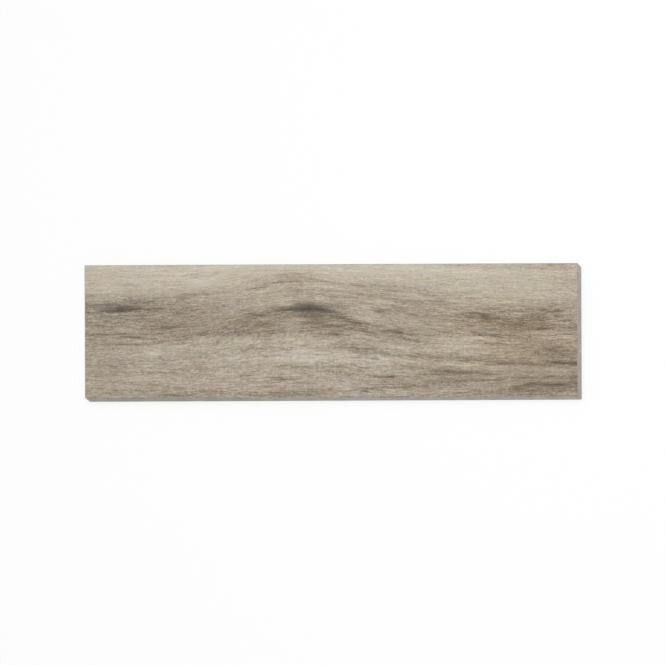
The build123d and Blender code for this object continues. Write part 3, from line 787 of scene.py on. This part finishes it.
# fired body on the sides and the back
firedBody = {
    "clay": (0.43, 0.405, 0.365),
    "mottle": (16.0, 0.10),  # size (mm) and share
    "grit": (0.7, 0.16),
    "specks": (1.1, 0.30),  # small iron specks
    "leftDarkening": (-0.32, 0.12, 0.86),  # darker towards the left end of the tile: start and end along the tile (m), and the share it starts from
    "wash": (0.66, 0.645, 0.61),  # kiln wash that is left on the rib tops
    "washHeight": 0.25 * mm,
    "washPatches": 38.0,
    "washDetail": 4.0,
    "cloudRange": (0.25, 0.75),  # the ranges are parts of the noise between none and all
    "speckRange": (0.70, 0.78),
    "washRange": (0.38, 0.56),
    "skinGrit": 0.5,
    "skinRange": (0.2, 0.8),
    "roughness": (0.72, 0.92),
    "gloss": 0.3,
    "bumpStrength": 0.4,
    "bumpDepth": 0.06 * mm,
}


def bodyNoise(tree, position, size, detail=2.0):
    node = addNode(tree, "ShaderNodeTexNoise")
    plug(tree, node.inputs["Vector"], position)
    node.inputs["Scale"].default_value = 1 / (size * mm)
    node.inputs["Detail"].default_value = detail
    return node.outputs[0]


def porcelainBody():
    material, tree, shader = newMaterial("porcelainBody")
    position = addNode(tree, "ShaderNodeTexCoord").outputs["Object"]
    x, _, z = split(tree, position)
    # the sides and the back get darker towards the left end of the tile
    darkeningStart, darkeningEnd, darkeningShare = firedBody["leftDarkening"]
    light = ease(tree, x, darkeningStart, darkeningEnd, darkeningShare, 1.0)
    for name in ("mottle", "grit"):
        size, share = firedBody[name]
        cloud = bodyNoise(tree, position, size)
        shade = ease(tree, cloud, *firedBody["cloudRange"], 1 - share, 1 + share)
        light = calc(tree, "MULTIPLY", light, shade)
    size, share = firedBody["specks"]
    speck = ease(tree, bodyNoise(tree, position, size, 0.0), *firedBody["speckRange"], 1.0, 1 - share)
    light = calc(tree, "MULTIPLY", light, speck)
    low = ease(tree, z, 0.0, firedBody["washHeight"], 1.0, 0.0)
    patches = bodyNoise(tree, position, firedBody["washPatches"], firedBody["washDetail"])
    patches = ease(tree, patches, *firedBody["washRange"])
    washed = addNode(tree, "ShaderNodeMix", data_type="RGBA")
    plug(tree, washed.inputs[0], calc(tree, "MULTIPLY", low, patches))
    washed.inputs[6].default_value = (*firedBody["clay"], 1.0)
    washed.inputs[7].default_value = (*firedBody["wash"], 1.0)
    colour = calcVector(tree, "MULTIPLY", washed.outputs[2], join(tree, light, light, light))
    plug(tree, shader.inputs["Base Color"], colour)
    grit = bodyNoise(tree, position, firedBody["skinGrit"])
    rough = ease(tree, grit, *firedBody["skinRange"], *firedBody["roughness"])
    plug(tree, shader.inputs["Roughness"], rough)
    roughen(tree, shader, grit, firedBody)
    return material


# the wear face's brushed relief
faceRelief = {
    "Cells along": 300,
    "Cells across": 262,
    "Rim": 0.6 * mm,  # flat ring between the relief and the arris
    "Edge fade": 4.0 * mm,
    "Groove depth": 0.16 * mm,
    "Swell depth": 0.14 * mm,
    "Seed": 11.0,
}
brushMarks = {  # length, width (mm) and seed of the noise, and the part of it between none and all
    "grooves": (30.0, 2.2, 21.0),
    "grooveRange": (-0.05, 0.2),
    "swell": (90.0, 12.0, 22.0),
    "swellRange": (-0.25, 0.25),
}
weldReach = 0.001 * mm  # points of the solid's faces this close become one
sameHeight = 0.01 * mm  # heights this close count as the same


def reliefTree(material):
    tree = bpy.data.node_groups.new("faceRelief", "GeometryNodeTree")
    face = tree.interface
    for name in ("Length", "Width", "Top", "Edge fade", "Groove depth", "Swell depth"):
        face.new_socket(name, in_out="INPUT", socket_type="NodeSocketFloat")
    for name in ("Cells along", "Cells across"):
        face.new_socket(name, in_out="INPUT", socket_type="NodeSocketInt")
    face.new_socket("Seed", in_out="INPUT", socket_type="NodeSocketFloat")
    face.new_socket("Geometry", in_out="OUTPUT", socket_type="NodeSocketGeometry")
    given = addNode(tree, "NodeGroupInput").outputs
    grid = addNode(tree, "GeometryNodeMeshGrid")
    plug(tree, grid.inputs["Size X"], given["Length"])
    plug(tree, grid.inputs["Size Y"], given["Width"])
    plug(tree, grid.inputs["Vertices X"], calc(tree, "ADD", given["Cells along"], 1))
    plug(tree, grid.inputs["Vertices Y"], calc(tree, "ADD", given["Cells across"], 1))
    position = addNode(tree, "GeometryNodeInputPosition").outputs[0]
    x, y = split(tree, position)[:2]
    gapX = calc(tree, "SUBTRACT", calc(tree, "MULTIPLY", given["Length"], 0.5), calc(tree, "ABSOLUTE", x))
    gapY = calc(tree, "SUBTRACT", calc(tree, "MULTIPLY", given["Width"], 0.5), calc(tree, "ABSOLUTE", y))
    inner = ease(tree, calc(tree, "MINIMUM", gapX, gapY), 0.0, given["Edge fade"])
    grain = grainPoint(tree, boardPoint(tree, position))
    grain = calcVector(tree, "ADD", grain, join(tree, given["Seed"], given["Seed"], 0.0))
    grooves = ease(tree, grainNoise(tree, grain, *brushMarks["grooves"]), *brushMarks["grooveRange"])
    swell = ease(tree, grainNoise(tree, grain, *brushMarks["swell"]), *brushMarks["swellRange"])
    sunk = calc(tree, "MULTIPLY", grooves, given["Groove depth"])
    sunk = calc(tree, "MULTIPLY_ADD", swell, given["Swell depth"], sunk)
    height = calc(tree, "SUBTRACT", given["Top"], calc(tree, "MULTIPLY", sunk, inner))
    moved = addNode(tree, "GeometryNodeSetPosition")
    plug(tree, moved.inputs["Geometry"], grid.outputs["Mesh"])
    plug(tree, moved.inputs["Offset"], join(tree, 0.0, 0.0, height))
    realized = addNode(tree, "GeometryNodeRealizeInstances")
    plug(tree, realized.inputs["Geometry"], moved.outputs["Geometry"])
    dressed = addNode(tree, "GeometryNodeSetMaterial")
    plug(tree, dressed.inputs["Geometry"], realized.outputs["Geometry"])
    dressed.inputs["Material"].default_value = material
    out = addNode(tree, "NodeGroupOutput")
    plug(tree, out.inputs["Geometry"], dressed.outputs["Geometry"])
    return tree


def reliefMesh(tree, length, width):
    host = bpy.data.objects.new("reliefHost", bpy.data.meshes.new("reliefHost"))
    bpy.context.scene.collection.objects.link(host)
    modifier = host.modifiers.new("faceRelief", "NODES")
    modifier.node_group = tree
    values = {"Length": length, "Width": width, "Top": tileTop, **faceRelief}
    for item in tree.interface.items_tree:
        if item.in_out == "INPUT":
            modifier[item.identifier] = values[item.name]
    host.update_tag()
    graph = bpy.context.evaluated_depsgraph_get()
    mesh = bpy.data.meshes.new_from_object(host.evaluated_get(graph))
    host.modifiers.remove(modifier)
    bpy.data.objects.remove(host)
    return mesh


def makeTile(printMaterial, bodyMaterial):
    shell = bmesh.new()
    shell.from_mesh(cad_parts["floor_tile"].data)
    bmesh.ops.remove_doubles(shell, verts=shell.verts, dist=weldReach)
    flatTop = [face for face in shell.faces if min(v.co.z for v in face.verts) > tileTop - sameHeight]
    arris = max(abs(v.co.x) for face in flatTop for v in face.verts)
    sideTop = max(v.co.z for v in shell.verts if abs(v.co.x) > tileLength / 2 - sameHeight)
    bmesh.ops.delete(shell, geom=flatTop, context="FACES")
    for face in shell.faces:
        onArris = min(v.co.z for v in face.verts) > sideTop - sameHeight
        face.smooth = onArris
        face.material_index = 0 if onArris else 1
    pressedFaces = set(shell.faces)
    inset = tileLength / 2 - arris + faceRelief["Rim"]
    relief = reliefMesh(reliefTree(printMaterial), tileLength - 2 * inset, tileWidth - 2 * inset)
    shell.from_mesh(relief)
    rimEdges = [edge for edge in shell.edges if edge.is_boundary]
    bmesh.ops.triangle_fill(shell, use_beauty=True, use_dissolve=False, edges=rimEdges, normal=(0, 0, 1))
    for face in shell.faces:
        if face not in pressedFaces:
            face.smooth = True
            face.material_index = 0
    bmesh.ops.recalc_face_normals(shell, faces=shell.faces)
    openEdges = sum(1 for edge in shell.edges if not edge.is_manifold)
    bmesh.ops.triangulate(shell, faces=shell.faces)
    print("tile mesh:", len(shell.faces), "triangles,", openEdges, "open edges")
    mesh = bpy.data.meshes.new("floorTile")
    shell.to_mesh(mesh)
    shell.free()
    paintFigure(mesh)
    mesh.materials.append(printMaterial)
    mesh.materials.append(bodyMaterial)
    tile = bpy.data.objects.new("floorTile", mesh)
    bpy.context.scene.collection.objects.link(tile)
    return tile


# studio: pale floor, even light from all round with a softbox overhead
studio = {
    "floorSize": 14.0,
    "floorTone": 0.9,  # what the floor gives back to the tile
    "paper": 0.985,  # how the floor and the backdrop look
    "shadowShare": 0.22,  # how much of the look takes the tile's shadow
    "skyStrength": 0.704,
    "softboxPower": 14.0,
    "softboxSize": 2.0,
    "softboxPlace": (0.35, 0.2, 1.6),
}


def seenRays(tree):  # 1 for what the camera sees, straight or in a reflection
    rays = addNode(tree, "ShaderNodeLightPath").outputs
    straight = calc(tree, "MAXIMUM", rays["Is Camera Ray"], rays["Is Glossy Ray"])
    return calc(tree, "MAXIMUM", straight, rays["Is Transmission Ray"])


def makeFloor():
    half = studio["floorSize"] / 2
    mesh = bpy.data.meshes.new("paperFloor")
    corners = [(-half, -half, 0), (half, -half, 0), (half, half, 0), (-half, half, 0)]
    mesh.from_pydata(corners, [], [(0, 1, 2, 3)])
    floor = bpy.data.objects.new("paperFloor", mesh)
    bpy.context.scene.collection.objects.link(floor)
    material = bpy.data.materials.new("paperFloor")
    tree = emptyTree(material)
    matt = addNode(tree, "ShaderNodeBsdfDiffuse")
    matt.inputs["Color"].default_value = (studio["floorTone"],) * 3 + (1.0,)
    seenMatt = addNode(tree, "ShaderNodeBsdfDiffuse")
    seenMatt.inputs["Color"].default_value = (studio["shadowShare"],) * 3 + (1.0,)
    glow = addNode(tree, "ShaderNodeEmission")
    glow.inputs["Strength"].default_value = studio["paper"] - studio["shadowShare"]
    seen = addNode(tree, "ShaderNodeAddShader")
    plugAll(tree, seen, (seenMatt.outputs[0], glow.outputs[0]))
    mixed = addNode(tree, "ShaderNodeMixShader")
    plugAll(tree, mixed, (seenRays(tree), matt.outputs[0], seen.outputs[0]))
    out = addNode(tree, "ShaderNodeOutputMaterial")
    plug(tree, out.inputs["Surface"], mixed.outputs[0])
    mesh.materials.append(material)


def makeLight():
    world = bpy.data.worlds.new("studio")
    bpy.context.scene.world = world
    tree = emptyTree(world)
    sky = addNode(tree, "ShaderNodeBackground")
    sky.inputs["Color"].default_value = (1.0, 1.0, 1.0, 1.0)
    strength = ease(tree, seenRays(tree), 0.0, 1.0, studio["skyStrength"], studio["paper"])
    plug(tree, sky.inputs["Strength"], strength)
    out = addNode(tree, "ShaderNodeOutputWorld")
    plug(tree, out.inputs["Surface"], sky.outputs[0])
    lamp = bpy.data.lights.new("softbox", "AREA")
    lamp.energy = studio["softboxPower"]
    lamp.size = studio["softboxSize"]
    softbox = bpy.data.objects.new("softbox", lamp)
    softbox.location = studio["softboxPlace"]
    softbox.rotation_euler = (-softbox.location).to_track_quat("-Z", "Y").to_euler()
    bpy.context.scene.collection.objects.link(softbox)


# camera: a long lens on a view camera whose back stays level with the tile,
# so that the face keeps its right angles
viewCamera = {
    "lens": 200.0,
    "sensor": 36.0,
    "clipEnd": 100.0,
    "frameWidth": 821.8 * mm,
    "aim": (1.5 * mm, -2.3 * mm),
    "lean": (0.61, -0.535, 1.0),  # from the tile to the camera
    "roll": 0.255,
}


def makeCamera():
    data = bpy.data.cameras.new("viewCamera")
    data.lens = viewCamera["lens"]
    data.sensor_width = viewCamera["sensor"]
    data.clip_end = viewCamera["clipEnd"]
    camera = bpy.data.objects.new("viewCamera", data)
    stand = bpy.data.objects.new("cameraStand", None)
    for item in (camera, stand):
        bpy.context.scene.collection.objects.link(item)
    roll = math.radians(viewCamera["roll"])
    across = Vector((math.cos(roll), -math.sin(roll), 0.0))
    upwards = Vector((math.sin(roll), math.cos(roll), 0.0))
    back = Vector(viewCamera["lean"]).normalized()
    distance = viewCamera["frameWidth"] * viewCamera["lens"] / viewCamera["sensor"]
    eye = Vector((*viewCamera["aim"], tileTop)) + back * distance
    place = Matrix((across, upwards, back)).transposed().to_4x4()
    place.translation = eye
    camera.parent = stand
    camera.matrix_parent_inverse = place
    bpy.context.scene.camera = camera


tile = makeTile(woodPrintGlaze(), porcelainBody())
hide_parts("floor_tile")
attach(tile, "root")
makeFloor()
makeLight()
makeCamera()
bpy.context.scene.view_settings.view_transform = "Standard"
print("studio ready")

bpy.context.view_layer.update()
